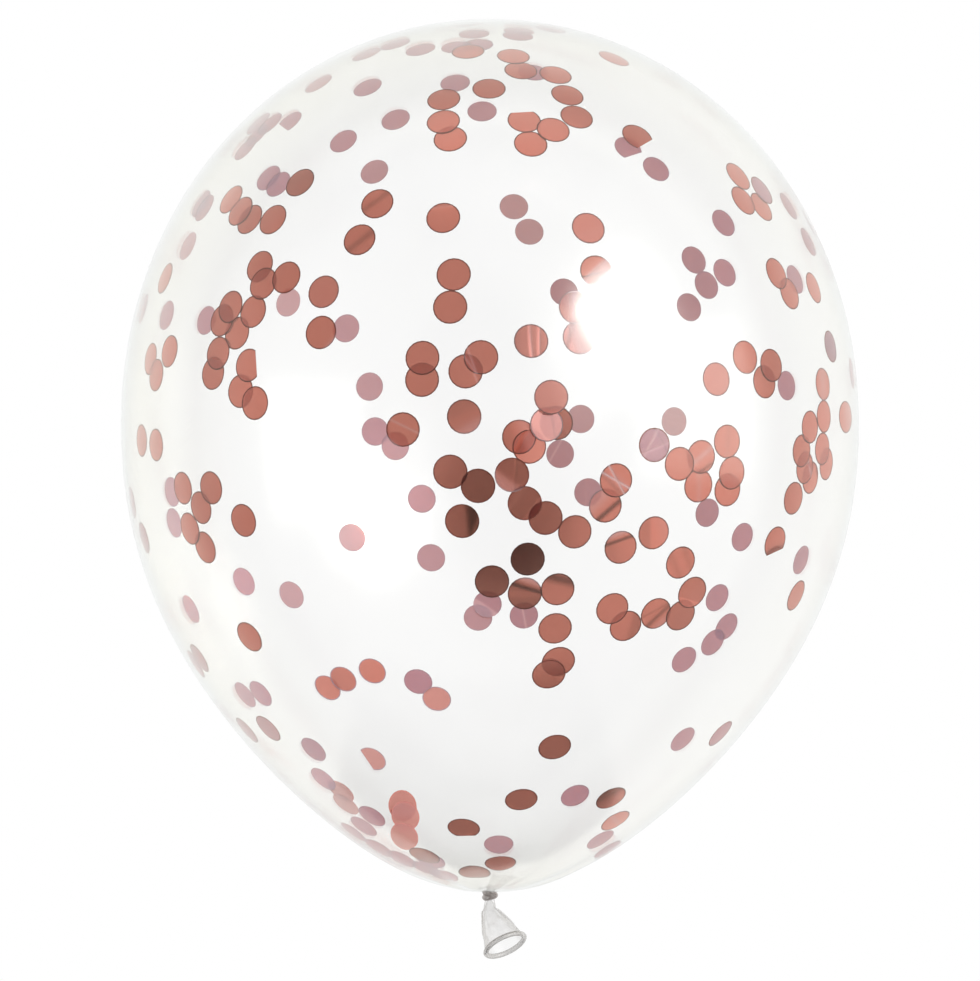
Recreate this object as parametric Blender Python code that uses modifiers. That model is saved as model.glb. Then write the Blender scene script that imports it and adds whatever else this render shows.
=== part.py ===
"""A confetti balloon lying on its side. Metres, +Z up.

The clear skin is one piece of latex: the blown bulb, the overhand knot that closes it, and the
flattened neck that flares to a rolled mouthpiece. The bulb is sealed, so it is a solid. The
mouthpiece is open, so it is a thin wall. The balloon's own axis lies along Y, with the crown
towards +Y, and it rests on a small flat spot whose centre is the origin.
"""

import math

import bmesh
import bpy
from mathutils import Matrix, Vector

# Bulb
BALLOON_DIAMETER = 0.280
CROWN_HEIGHT = 0.153  # from the widest section to the top of the crown
TAPER_LENGTH = 0.1785  # from the widest section to the closed end
CROWN_FULLNESS = 2.02  # exponent of the crown's outline: 2 is an ellipse, and more is squarer
TAPER_FULLNESS = 2.16  # the same for the taper
TAPER_PINCH = 0.32  # share by which the taper is drawn in at its closed end
TAPER_PINCH_POWER = 2.25  # how late along the taper that draw begins
BULB_SIDES = 56
CROWN_RINGS = 13
TAPER_RINGS = 15

# Flat spot that the balloon lies on
RESTING_SPOT_WIDTH = 0.040

# Knot: two turns of the neck, one laid across the other
KNOT_WIDTH = 0.0064
KNOT_STRAND_DIAMETER = 0.0026
KNOT_TURN_SPACING = 0.0009
KNOT_TURN_TILTS = (math.radians(20), math.radians(-14))
KNOT_SINK = 0.0002  # how far the first turn sits into the bulb's closed end
KNOT_SIDES = 20
KNOT_STRAND_SIDES = 10

# Neck and mouthpiece, measured along the neck's own middle line
STRAND_WIDTH = 0.0030  # of the neck inside the knot
NECK_WIDTH = 0.0046  # across the flattened neck, just past the knot
NECK_THICKNESS = 0.0026
NECK_LENGTH = 0.0052  # from the knot's middle to where the neck begins to flare
FLARE_LENGTH = 0.0158  # from there to the mouth
BEND_START = 0.0030  # from the knot's middle to where the middle line begins to curve
BEND_LENGTH = 0.0075  # of the stretch that curves
BEND_ANGLE = math.radians(38.5)
BEND_TOWARDS = math.radians(50)  # from +X towards +Z
MOUTH_DIAMETER = 0.0178  # over the rolled rim
RIM_BEAD_DIAMETER = 0.0019
LATEX_WALL = 0.0005
FLARE_WIDTH_EASE = 0.60  # below 1, the neck widens at once into its shoulder
FLARE_THICKNESS_EASE = 0.85
HOLLOW_START = 0.14  # share of the flare that is still closed
NECK_SIDES = 28
FLARE_RINGS = 8
RIM_BEAD_RINGS = 7

AXIS_HEIGHT = math.sqrt((BALLOON_DIAMETER / 2) ** 2 - (RESTING_SPOT_WIDTH / 2) ** 2)
LYING_DOWN = Matrix.Translation((0, 0, AXIS_HEIGHT)) @ Matrix.Rotation(-math.pi / 2, 4, "X")
MERGE_DISTANCE = 1e-5


def clear_scene():
    """Removes whatever the file opened with."""
    for thing in list(bpy.data.objects):
        bpy.data.objects.remove(thing, do_unlink=True)


def make_collection(name):
    """A new collection linked to the scene."""
    made = bpy.data.collections.new(name)
    bpy.context.scene.collection.children.link(made)
    return made


def latex_material():
    """Clear latex, blown thin: nearly all see-through, with a wet gloss."""
    material = bpy.data.materials.new("clear_latex")
    material.use_nodes = True
    shader = material.node_tree.nodes["Principled BSDF"]
    shader.inputs["Base Color"].default_value = (0.93, 0.92, 0.90, 1)
    shader.inputs["Roughness"].default_value = 0.12
    shader.inputs["Metallic"].default_value = 0.0
    shader.inputs["Alpha"].default_value = 0.25
    return material


def add_object(name, mesh, collection):
    """An object that holds the mesh, shaded smooth, in the collection."""
    mesh.shade_smooth()
    made = bpy.data.objects.new(name, mesh)
    collection.objects.link(made)
    return made


def helper(made):
    """Marks an object as one that only shapes another."""
    made.hide_render = True
    made.display_type = "WIRE"
    return made


def crown_point(angle):
    """(radius, height) on the crown: angle 0 is its top, and a quarter turn the widest section."""
    power = 2 / CROWN_FULLNESS
    return BALLOON_DIAMETER / 2 * math.sin(angle) ** power, CROWN_HEIGHT * math.cos(angle) ** power


def taper_point(angle):
    """(radius, height) on the taper: angle 0 is the widest section, and a quarter turn the closed end."""
    power = 2 / TAPER_FULLNESS
    depth = math.sin(angle) ** power
    drawn_in = 1 - TAPER_PINCH * depth**TAPER_PINCH_POWER
    return BALLOON_DIAMETER / 2 * math.cos(angle) ** power * drawn_in, -TAPER_LENGTH * depth


def make_bulb(collection):
    """The bulb, turned about Z from its outline, top to bottom, then laid down."""
    quarter = math.pi / 2
    outline = [(0, CROWN_HEIGHT)]
    outline += [crown_point(quarter * i / CROWN_RINGS) for i in range(1, CROWN_RINGS)]
    outline += [taper_point(quarter * i / TAPER_RINGS) for i in range(TAPER_RINGS)]
    outline += [(0, -TAPER_LENGTH)]
    bm = bmesh.new()
    corners = [bm.verts.new((radius, 0, height)) for radius, height in outline]
    for above, below in zip(corners, corners[1:]):
        bm.edges.new((above, below))
    mesh = bpy.data.meshes.new("latex_balloon")
    bm.to_mesh(mesh)
    bm.free()
    bulb = add_object("latex_balloon", mesh, collection)
    bulb.matrix_world = LYING_DOWN
    screw = bulb.modifiers.new("turned", "SCREW")
    screw.axis = "Z"
    screw.steps = screw.render_steps = BULB_SIDES
    screw.use_merge_vertices = True
    screw.merge_threshold = MERGE_DISTANCE
    screw.use_smooth_shade = True
    return bulb


def knot_half_height():
    """Half of what the knot's two turns measure along the neck."""
    return (KNOT_STRAND_DIAMETER + KNOT_TURN_SPACING) / 2


def knot_centre():
    """The knot's middle, below the bulb's closed end."""
    return Vector((0, 0, KNOT_SINK - TAPER_LENGTH - knot_half_height()))


def make_knot_turn(number, collection):
    """One turn of the overhand knot: a ring of neck, tilted across the axis."""
    bend_radius = (KNOT_WIDTH - KNOT_STRAND_DIAMETER) / 2
    bm = bmesh.new()
    strand = bmesh.ops.create_circle(
        bm, segments=KNOT_STRAND_SIDES, radius=KNOT_STRAND_DIAMETER / 2
    )["verts"]
    bmesh.ops.rotate(bm, verts=strand, matrix=Matrix.Rotation(math.pi / 2, 3, "X"))
    bmesh.ops.translate(bm, verts=strand, vec=(bend_radius, 0, 0))
    bmesh.ops.spin(
        bm, geom=list(bm.verts) + list(bm.edges), axis=(0, 0, 1), cent=(0, 0, 0),
        angle=2 * math.pi, steps=KNOT_SIDES, use_merge=True,
    )
    bmesh.ops.remove_doubles(bm, verts=bm.verts, dist=MERGE_DISTANCE)
    bmesh.ops.recalc_face_normals(bm, faces=bm.faces)
    side = 1 if number == 0 else -1
    place = Matrix.Translation(knot_centre() + Vector((0, 0, side * KNOT_TURN_SPACING / 2)))
    bm.transform(place @ Matrix.Rotation(KNOT_TURN_TILTS[number], 4, "Y"))
    mesh = bpy.data.meshes.new(f"knot_turn_{number}")
    bm.to_mesh(mesh)
    bm.free()
    turn = helper(add_object(mesh.name, mesh, collection))
    turn.matrix_world = LYING_DOWN
    return turn


def neck_frame(along):
    """Where the neck's middle line is, that far from the knot's middle, with its section's axes.

    The line runs straight down, then bends, then runs straight on to the mouth. It is in the
    balloon's own frame, crown up, where -Y becomes the lying balloon's +Z.
    """
    bent = min(max(along - BEND_START, 0), BEND_LENGTH)
    angle = BEND_ANGLE * bent / BEND_LENGTH
    radius = BEND_LENGTH / BEND_ANGLE
    past = max(along - BEND_START - BEND_LENGTH, 0)
    straight = min(along, BEND_START)
    down = straight + radius * math.sin(angle) + past * math.cos(angle)
    aside = radius * (1 - math.cos(angle)) + past * math.sin(angle)
    sideways = Vector((math.cos(BEND_TOWARDS), -math.sin(BEND_TOWARDS), 0))
    below = Vector((0, 0, -1))
    middle = knot_centre() + below * down + sideways * aside
    ahead = below * math.cos(angle) + sideways * math.sin(angle)
    across = Vector((1, 0, 0))
    across = (across - ahead * across.dot(ahead)).normalized()
    return middle, ahead, across, ahead.cross(across)


def flare_half_sizes(share):
    """(half width, half thickness) of the flare's outer face, that share of the way to the mouth."""
    mouth = (MOUTH_DIAMETER - RIM_BEAD_DIAMETER + LATEX_WALL) / 2
    width = NECK_WIDTH / 2 + (mouth - NECK_WIDTH / 2) * share**FLARE_WIDTH_EASE
    thickness = NECK_THICKNESS / 2 + (mouth - NECK_THICKNESS / 2) * share**FLARE_THICKNESS_EASE
    return width, thickness


def neck_sections():
    """(distance from the knot, half width, half thickness) of each ring, out along the outer
    face, round the rolled rim and back down the inner face."""
    mouth_at = NECK_LENGTH + FLARE_LENGTH
    strand = STRAND_WIDTH / 2
    inside_bulb = -2 * knot_half_height()
    rings = [(inside_bulb, strand, strand), (0, strand, strand)]
    for i in range(FLARE_RINGS):
        share = i / FLARE_RINGS
        rings.append((NECK_LENGTH + FLARE_LENGTH * share, *flare_half_sizes(share)))
    bead = RIM_BEAD_DIAMETER / 2
    bead_middle = MOUTH_DIAMETER / 2 - bead
    for i in range(RIM_BEAD_RINGS + 1):
        turn = math.radians(-60) + math.radians(300) * i / RIM_BEAD_RINGS
        radius = bead_middle + bead * math.cos(turn)
        rings.append((mouth_at + bead * math.sin(turn), radius, radius))
    for i in range(FLARE_RINGS - 1, 0, -1):
        share = HOLLOW_START + (1 - HOLLOW_START) * (i - 1) / FLARE_RINGS
        width, thickness = flare_half_sizes(share)
        rings.append((NECK_LENGTH + FLARE_LENGTH * share, width - LATEX_WALL, thickness - LATEX_WALL))
    return rings


def make_neck(collection):
    """The neck and mouthpiece: a loft through sections that go from round to flat to round."""
    bm = bmesh.new()
    rings = []
    for along, half_width, half_thickness in neck_sections():
        middle, _, across, through = neck_frame(along)
        ring = []
        for i in range(NECK_SIDES):
            turn = 2 * math.pi * i / NECK_SIDES
            offset = across * (half_width * math.cos(turn)) + through * (half_thickness * math.sin(turn))
            ring.append(bm.verts.new(middle + offset))
        rings.append(ring)
    for ring, following in zip(rings, rings[1:]):
        for i in range(NECK_SIDES):
            j = (i + 1) % NECK_SIDES
            bm.faces.new((ring[i], ring[j], following[j], following[i]))
    bm.faces.new(rings[0])
    bm.faces.new(rings[-1])
    bmesh.ops.recalc_face_normals(bm, faces=bm.faces)
    mesh = bpy.data.meshes.new("neck")
    bm.to_mesh(mesh)
    bm.free()
    neck = helper(add_object("neck", mesh, collection))
    neck.matrix_world = LYING_DOWN
    return neck


def make_floor_cutter(collection):
    """A block below the floor plane, which cuts the flat resting spot."""
    depth = BALLOON_DIAMETER / 4
    bm = bmesh.new()
    bmesh.ops.create_cube(bm, size=1)
    length = 2 * (CROWN_HEIGHT + TAPER_LENGTH)
    bm.transform(Matrix.Diagonal((BALLOON_DIAMETER, length, depth, 1)))
    mesh = bpy.data.meshes.new("floor_cutter")
    bm.to_mesh(mesh)
    bm.free()
    cutter = helper(add_object("floor_cutter", mesh, collection))
    cutter.location = (0, 0, -depth / 2)
    return cutter


def boolean(target, operation, other):
    """Adds an exact Boolean to the target."""
    modifier = target.modifiers.new(f"{operation.lower()}_{other.name}", "BOOLEAN")
    modifier.operation = operation
    modifier.solver = "EXACT"
    modifier.object = other


def main():
    clear_scene()
    balloon_parts = make_collection("confetti_balloon")
    cutters = make_collection("cutters")
    bulb = make_bulb(balloon_parts)
    bulb.data.materials.append(latex_material())
    boolean(bulb, "DIFFERENCE", make_floor_cutter(cutters))
    boolean(bulb, "UNION", make_neck(cutters))
    for number in range(len(KNOT_TURN_TILTS)):
        boolean(bulb, "UNION", make_knot_turn(number, cutters))


main()
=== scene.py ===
"""Looks of a clear latex balloon with rose gold confetti, lying on its side. Metres, +Z up.

The blown film, the knot and the mouthpiece stand for the one CAD solid. The confetti is sealed in
the film: each disc is laid on the inside of the wall where the photograph shows it, by casting a
ray from the camera, and its facts are where it shows, which wall it clings to and how it is bent.
"""

from __future__ import annotations

import logging
import math
from dataclasses import dataclass
from enum import Enum

import bmesh
import bpy
from bmesh.types import BMEdge, BMesh, BMVert
from bpy.types import Material, Node, NodeSocket, NodeTree, Object
from mathutils import Matrix, Vector, noise
from mathutils.bvhtree import BVHTree


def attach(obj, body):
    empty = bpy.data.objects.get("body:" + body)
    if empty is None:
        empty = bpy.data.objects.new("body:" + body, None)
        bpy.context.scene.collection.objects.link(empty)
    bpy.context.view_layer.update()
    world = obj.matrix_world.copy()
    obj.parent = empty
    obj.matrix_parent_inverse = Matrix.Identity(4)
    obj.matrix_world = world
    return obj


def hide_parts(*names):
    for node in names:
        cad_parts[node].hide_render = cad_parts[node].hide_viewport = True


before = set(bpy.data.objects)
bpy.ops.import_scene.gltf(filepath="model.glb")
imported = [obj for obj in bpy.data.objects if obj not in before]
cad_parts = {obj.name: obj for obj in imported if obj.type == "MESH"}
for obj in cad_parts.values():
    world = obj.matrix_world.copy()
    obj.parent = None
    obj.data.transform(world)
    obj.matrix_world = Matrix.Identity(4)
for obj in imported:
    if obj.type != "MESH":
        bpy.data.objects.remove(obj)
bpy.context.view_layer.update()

LOG = logging.getLogger("confetti_balloon")
BODY = "root"
CAD_NODE = "latex_balloon"
MILLIMETRE = 0.001
TIDY_DISTANCE = 1e-6


def linear(colour: str) -> tuple[float, float, float, float]:
    """Turns an sRGB hex colour to linear, with full alpha."""
    parts = [int(colour[i : i + 2], 16) / 255 for i in (1, 3, 5)]
    red, green, blue = (c / 12.92 if c <= 0.04045 else ((c + 0.055) / 1.055) ** 2.4 for c in parts)
    return red, green, blue, 1.0


@dataclass(frozen=True)
class Wiring:
    """A node tree being built, with the few kinds of node that the looks are made of."""

    tree: NodeTree

    def add(self, kind: str, inputs: dict[str | int, object] | None = None, **settings: object) -> Node:
        """Adds a node with its settings and links.

        Args:
            kind: Blender's name for the node's type
            inputs: for each socket, a plain value or the output that feeds it
            settings: the node's own properties

        Returns:
            The node.
        """
        node = self.tree.nodes.new(kind)
        for name, value in settings.items():
            setattr(node, name, value)
        for socket, value in (inputs or {}).items():
            if isinstance(value, NodeSocket):
                self.tree.links.new(value, node.inputs[socket])
            else:
                node.inputs[socket].default_value = value
        return node

    def place(self) -> NodeSocket:
        """Where the point is, in metres."""
        return self.add("ShaderNodeTexCoord").outputs["Object"]

    def read(self, name: str) -> NodeSocket:
        """What the mesh says of the point under that name."""
        return self.add("ShaderNodeAttribute", attribute_name=name).outputs["Fac"]

    def patches(self, place: NodeSocket, size: float, detail: float, roughness: float) -> NodeSocket:
        """Soft random patches, that many metres wide, with finer ones over them."""
        inputs = {"Vector": place, "Scale": 1 / size, "Detail": detail, "Roughness": roughness}
        return self.add("ShaderNodeTexNoise", inputs).outputs["Fac"]

    def compute(self, operation: str, *values: NodeSocket | float, clamp: bool = False) -> NodeSocket:
        """One step of arithmetic, kept from 0 to 1 if it is clamped."""
        inputs = dict(enumerate(values))
        return self.add("ShaderNodeMath", inputs, operation=operation, use_clamp=clamp).outputs[0]

    def along(self, vector: NodeSocket, axis: Vector | tuple[float, float, float]) -> NodeSocket:
        """How far a vector reaches along an axis."""
        inputs = {0: vector, 1: axis}
        return self.add("ShaderNodeVectorMath", inputs, operation="DOT_PRODUCT").outputs["Value"]

    def spread(
        self,
        value: NodeSocket,
        between: tuple[float, float] = (0.0, 1.0),
        to: tuple[NodeSocket | float, NodeSocket | float] = (0.0, 1.0),
        smooth: bool = False,
    ) -> NodeSocket:
        """Turns one range of values to another.

        Args:
            value: the value that is turned
            between: where its range begins and ends
            to: what those two become
            smooth: whether it eases in and out

        Returns:
            An output that stays inside the new range.
        """
        inputs = {"Value": value, "From Min": between[0], "From Max": between[1]}
        inputs |= {"To Min": to[0], "To Max": to[1]}
        pace = "SMOOTHSTEP" if smooth else "LINEAR"
        return self.add("ShaderNodeMapRange", inputs, interpolation_type=pace).outputs["Result"]

    def mix(self, share: NodeSocket, first: object, second: object) -> NodeSocket:
        """Mixes two colours, the second one by its share."""
        inputs = {"Factor": share, "A": first, "B": second}
        return self.add("ShaderNodeMix", inputs, data_type="RGBA").outputs["Result"]

    def tone(self, level: NodeSocket, colour: object) -> NodeSocket:
        """Makes a colour that many times as bright, to paint shade or highlight on it."""
        return self.add("ShaderNodeHueSaturation", {"Value": level, "Color": colour}).outputs[0]

    def show(self, surface: NodeSocket) -> None:
        """Ends the tree in the material's surface."""
        self.add("ShaderNodeOutputMaterial", {"Surface": surface})

    def glow(self, light: NodeSocket | float) -> None:
        """Ends the tree in white light of that strength."""
        inputs = {"Color": linear("#FFFFFF"), "Strength": light}
        self.show(self.add("ShaderNodeEmission", inputs).outputs[0])


def blank_material(name: str) -> tuple[Material, Wiring]:
    """A node material with nothing in its tree."""
    material = bpy.data.materials.new(name)
    material.use_nodes = True
    material.node_tree.nodes.clear()
    return material, Wiring(material.node_tree)


def make_piece(name: str, bm: BMesh, materials: list[Material], sharp_angle: float = 180.0) -> Object:
    """Turns a bmesh into a smooth-shaded object at the origin, and frees it.

    Args:
        name: the piece's name
        bm: its mesh, already in place
        materials: its material slots, in order
        sharp_angle: edges that bend more than this, in degrees, stay crisp

    Returns:
        The object, linked to the scene.
    """
    mesh = bpy.data.meshes.new(name)
    bm.to_mesh(mesh)
    bm.free()
    mesh.shade_smooth()
    if sharp_angle < 180:
        mesh.set_sharp_from_angle(angle=math.radians(sharp_angle))
    for material in materials:
        mesh.materials.append(material)
    piece = bpy.data.objects.new(name, mesh)
    bpy.context.scene.collection.objects.link(piece)
    return piece


def pour(part: BMesh, whole: BMesh) -> None:
    """Adds one mesh to another, and frees it."""
    mesh = bpy.data.meshes.new("part")
    part.to_mesh(mesh)
    part.free()
    whole.from_mesh(mesh)
    bpy.data.meshes.remove(mesh)


def everything(bm: BMesh) -> list[object]:
    """All points, edges and faces of a mesh."""
    return [*bm.verts, *bm.edges, *bm.faces]


def spin_round(bm: BMesh, steps: int) -> None:
    """Spins a mesh's line round +Z to one closed surface."""
    turn = {"axis": (0, 0, 1), "cent": (0, 0, 0), "angle": 2 * math.pi}
    bmesh.ops.spin(bm, geom=everything(bm), steps=steps, use_merge=True, **turn)
    bmesh.ops.remove_doubles(bm, verts=bm.verts, dist=TIDY_DISTANCE)


def direction(angle: float) -> Vector:
    """The level direction that many degrees anticlockwise from +X."""
    return Vector((math.cos(math.radians(angle)), math.sin(math.radians(angle)), 0))


@dataclass(frozen=True)
class ClearLatex:
    """Natural rubber latex, dip-moulded clear and blown to about 0.1 mm.

    The film is so thin that light passes straight through it. What the eye sees is its wet gloss,
    a faint veil that thickens as the view runs more along the wall, and a grey band at the outline:
    the latex seen along the wall, with painted shade in its colour.
    """

    name: str
    colour: str
    edge_colour_and_painted_shade: str  # the latex seen along the wall, with painted shade of the darker surroundings it mirrors there
    face_on: float  # alpha where the film faces the eye
    veil: float  # what the slanting view adds to it
    outline: float  # what the view along the wall adds to that
    veil_range: tuple[float, float] = (0.15, 0.9)  # between which turns from the eye the veil gathers
    outline_range: tuple[float, float] = (0.66, 0.97)  # between which the outline does
    thickness_and_painted_light_slope: tuple[float, float, float] = (0.0, 0.0, 0.0)  # what each metre adds to the veil, for thicker film and for painted light
    thickness: float = 1.0  # the veil's share at the origin
    thinnest: float = 0.1  # the least that the slope leaves of the veil
    unstretched_veil: float = 0.35  # what film that was never blown thin adds
    gloss_share: float = 0.78  # metallic: the film's mirror gloss has little body under it
    roughness: float = 0.17
    ior: float = 1.52  # natural rubber's
    patch_size: float = 34 * MILLIMETRE  # the film's thick and thin patches
    patch_range: tuple[float, float] = (0.3, 0.7)  # what the patches' noise runs between
    unevenness: float = 0.12

    def dress(self) -> Material:
        """Builds the material."""
        material, wiring = blank_material(self.name)
        place = wiring.place()
        facing = wiring.add("ShaderNodeLayerWeight", {"Blend": 0.5}).outputs["Facing"]
        along_wall = wiring.spread(facing, self.outline_range, smooth=True)
        slanting = wiring.spread(facing, self.veil_range, smooth=True)
        slope = wiring.along(place, self.thickness_and_painted_light_slope)
        thickness = wiring.compute("MAXIMUM", wiring.compute("ADD", slope, self.thickness), self.thinnest)
        gathered = wiring.compute("MULTIPLY", slanting, thickness)
        veil = wiring.compute("MULTIPLY_ADD", gathered, self.veil, self.face_on)
        edge = wiring.compute("MULTIPLY_ADD", along_wall, self.outline, veil)
        thick = wiring.compute("MULTIPLY_ADD", wiring.read("unstretched"), self.unstretched_veil, edge)
        patches = wiring.patches(place, self.patch_size, detail=2.0, roughness=0.5)
        patchy = wiring.spread(patches, self.patch_range, (1 - self.unevenness, 1 + self.unevenness))
        shader = wiring.add(
            "ShaderNodeBsdfPrincipled",
            {
                # The outline's grey: the latex seen along the wall, with painted shade.
                "Base Color": wiring.mix(along_wall, linear(self.colour), linear(self.edge_colour_and_painted_shade)),
                "Metallic": self.gloss_share,
                "Roughness": self.roughness,
                "IOR": self.ior,
                "Alpha": wiring.compute("MULTIPLY", thick, patchy, clamp=True),
            },
        )
        wiring.show(shader.outputs[0])
        return material


@dataclass(frozen=True)
class Foil:
    """One face of a confetti disc: polyester film, vacuum-metallised and lacquered.

    The metal under the tinted lacquer gives a satin mirror in the lacquer's colour. It is so thin
    that a warm part of the light gets through, so that two discs one on the other look deeper. Half
    of what the disc holds back is held back by each of its faces.
    """

    name: str
    colour: str
    deep_colour: str  # where the lacquer lies thicker
    let_through: str  # colour of the light that one face lets through
    cover: float  # share of the light that one face mirrors or stops
    metallic: float
    roughness: float
    painted_highlight_colour: str = "#F8F2FB"  # painted highlight: the colour where a buckle mirrors the window
    satin_spread: float = 0.2  # how uneven the lacquer leaves the roughness
    ior: float = 1.5  # the lacquer's
    lacquer_grain: float = 6 * MILLIMETRE
    wrinkle_size: float = 3.2 * MILLIMETRE
    wrinkle_height: float = 0.02 * MILLIMETRE

    def dress(self) -> Material:
        """Builds the material."""
        material, wiring = blank_material(self.name)
        place, tone, pale = wiring.place(), wiring.read("tone"), wiring.read("pale")
        lacquer = wiring.patches(place, self.lacquer_grain, detail=3.0, roughness=0.55)
        tinted = wiring.mix(lacquer, linear(self.colour), linear(self.deep_colour))
        satin = (self.roughness * (1 - self.satin_spread), self.roughness * (1 + self.satin_spread))
        wrinkles = wiring.patches(place, self.wrinkle_size, detail=2.0, roughness=0.45)
        height = {"Height": wrinkles, "Strength": 1.0, "Distance": self.wrinkle_height}
        # Painted shade and painted highlight: each point's brightness is painted into the base colour, its
        # highlight washes it towards white, and there the metal gives way to a plain white surface.
        metal = wiring.add(
            "ShaderNodeBsdfPrincipled",
            {
                "Base Color": wiring.mix(pale, wiring.tone(tone, tinted), linear(self.painted_highlight_colour)),
                "Metallic": wiring.spread(pale, to=(self.metallic, 0.0)),
                "Roughness": wiring.spread(lacquer, to=satin),
                "IOR": self.ior,
                "Normal": wiring.add("ShaderNodeBump", height).outputs[0],
            },
        )
        # The light let through is dimmed where shade is painted, but not raised where a highlight is.
        passing = wiring.tone(wiring.compute("MINIMUM", tone, 1.0), linear(self.let_through))
        through = wiring.add("ShaderNodeBsdfTransparent", {"Color": passing})
        layers = {0: self.cover, 1: through.outputs[0], 2: metal.outputs[0]}
        film = wiring.add("ShaderNodeMixShader", layers)
        wiring.show(film.outputs[0])
        return material


@dataclass(frozen=True)
class Eye:
    """The photograph's camera: straight above the balloon, which lies with its crown away."""

    place: tuple[float, float, float] = (0.0, -0.0257, 1.4826)
    lens: float = 129.3
    sensor: float = 36.0
    frame_width: int = 980
    frame_height: int = 981
    sees_between: tuple[float, float] = (0.05, 50.0)

    @property
    def pixels_per_slope(self) -> float:
        """Focal length in pixels."""
        return self.lens / self.sensor * max(self.frame_width, self.frame_height)

    def ray(self, x: float, y: float) -> Vector:
        """The direction in which a pixel of the photograph lies.

        Args:
            x: pixels from the frame's left
            y: pixels from the frame's top

        Returns:
            The direction, one metre long downwards.
        """
        slope = self.pixels_per_slope
        return Vector(((x - self.frame_width / 2) / slope, (self.frame_height / 2 - y) / slope, -1))

    def build(self) -> None:
        """Makes the camera and looks through it."""
        data = bpy.data.cameras.new("eye")
        data.lens = self.lens
        data.sensor_width = self.sensor
        data.clip_start, data.clip_end = self.sees_between
        camera = bpy.data.objects.new("eye", data)
        camera.location = self.place
        bpy.context.scene.collection.objects.link(camera)
        bpy.context.scene.camera = camera


@dataclass(frozen=True)
class Ripple:
    """Uneven gathers round a ring: two sets of folds, one over the other."""

    folds: int
    cross_folds: int
    cross_depth: float  # the second set's, beside the first one's
    start: float = 0.0  # radians, as is the next
    cross_start: float = 0.0

    def out(self, turn: float) -> float:
        """How far out the ring stands at that angle."""
        crossing = self.cross_depth * math.cos(self.cross_folds * turn + self.cross_start)
        return math.cos(self.folds * turn + self.start) + crossing


@dataclass
class Bulb:
    """The blown film: a round crown, a long taper, and a soft flat patch where it lies."""

    diameter: float = 0.280
    crown_height: float = 0.153
    taper_length: float = 0.1785
    crown_fullness: float = 2.02
    taper_fullness: float = 2.16
    taper_pinch: float = 0.32
    taper_pinch_power: float = 2.25
    resting_spot_width: float = 0.040
    sides: int = 128
    crown_rings: int = 32
    taper_rings: int = 44
    pleats: Ripple = Ripple(folds=13, cross_folds=17, cross_depth=0.5, cross_start=1.0)
    pleat_length: float = 0.016
    pleat_fade: float = 2.2  # how steeply they fade over that length
    pleat_depth: float = 0.10  # share of the radius, at the knot
    spot_softness: float = 0.0003
    neck_reach: float = 0.035  # how far the less stretched film reaches from the knot
    neck_share: float = 0.3  # how much of its thickness it keeps there

    @property
    def axis_height(self) -> float:
        """How high the lying balloon's own axis is."""
        return math.sqrt((self.diameter / 2) ** 2 - (self.resting_spot_width / 2) ** 2)

    @property
    def lying_down(self) -> Matrix:
        """From the balloon's own frame, crown up, to the world's."""
        return Matrix.Translation((0, 0, self.axis_height)) @ Matrix.Rotation(-math.pi / 2, 4, "X")

    def outline(self) -> list[tuple[float, float]]:
        """Radius and height of the outline's points, crown first."""
        quarter, radius = math.pi / 2, self.diameter / 2
        points = [(0.0, self.crown_height)]
        power = 2 / self.crown_fullness
        for i in range(1, self.crown_rings):
            angle = quarter * i / self.crown_rings
            points.append((radius * math.sin(angle) ** power, self.crown_height * math.cos(angle) ** power))
        power = 2 / self.taper_fullness
        for i in range(self.taper_rings):
            angle = quarter * i / self.taper_rings
            depth = math.sin(angle) ** power
            drawn_in = 1 - self.taper_pinch * depth**self.taper_pinch_power
            points.append((radius * math.cos(angle) ** power * drawn_in, -self.taper_length * depth))
        points.append((0.0, -self.taper_length))
        return points

    def shape(self) -> BMesh:
        """The film's one closed surface, in place."""
        bm = bmesh.new()
        corners = [bm.verts.new((radius, 0, height)) for radius, height in self.outline()]
        for above, below in zip(corners, corners[1:]):
            bm.edges.new((above, below))
        spin_round(bm, self.sides)
        bmesh.ops.recalc_face_normals(bm, faces=bm.faces)
        self._pleat(bm)
        bm.transform(self.lying_down)
        self._settle(bm)
        bm.normal_update()
        return bm

    def _pleat(self, bm: BMesh) -> None:
        """Gathers the film into small pleats where the knot draws it in."""
        thick = bm.verts.layers.float.new("unstretched")
        for vert in bm.verts:
            above_end = vert.co.z + self.taper_length
            near_end = math.exp(-above_end / self.pleat_length * self.pleat_fade)
            vert[thick] = near_end + self.neck_share * math.exp(-above_end / self.neck_reach)
            ripple = self.pleats.out(math.atan2(vert.co.y, vert.co.x))
            scale = 1 - self.pleat_depth * near_end * (1 - ripple) * 0.5
            vert.co.x *= scale
            vert.co.y *= scale

    def _settle(self, bm: BMesh) -> None:
        """Flattens the film softly where it rests on the floor."""
        for vert in bm.verts:
            z = vert.co.z
            vert.co.z = (z + math.sqrt(z * z + self.spot_softness**2)) / 2

    def build(self, finish: ClearLatex) -> Object:
        """Builds the film and dresses it."""
        piece = make_piece("blown_film", self.shape(), [finish.dress()])
        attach(piece, BODY)
        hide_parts(CAD_NODE)
        return piece


class Wall(Enum):
    """The wall that a disc clings to, as the camera sees it."""

    NEAR = "near"
    FAR = "far"


class Bend(Enum):
    """What happened to a disc."""

    FLAT = "flat"
    CUT = "cut"
    FOLDED = "folded"


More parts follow.
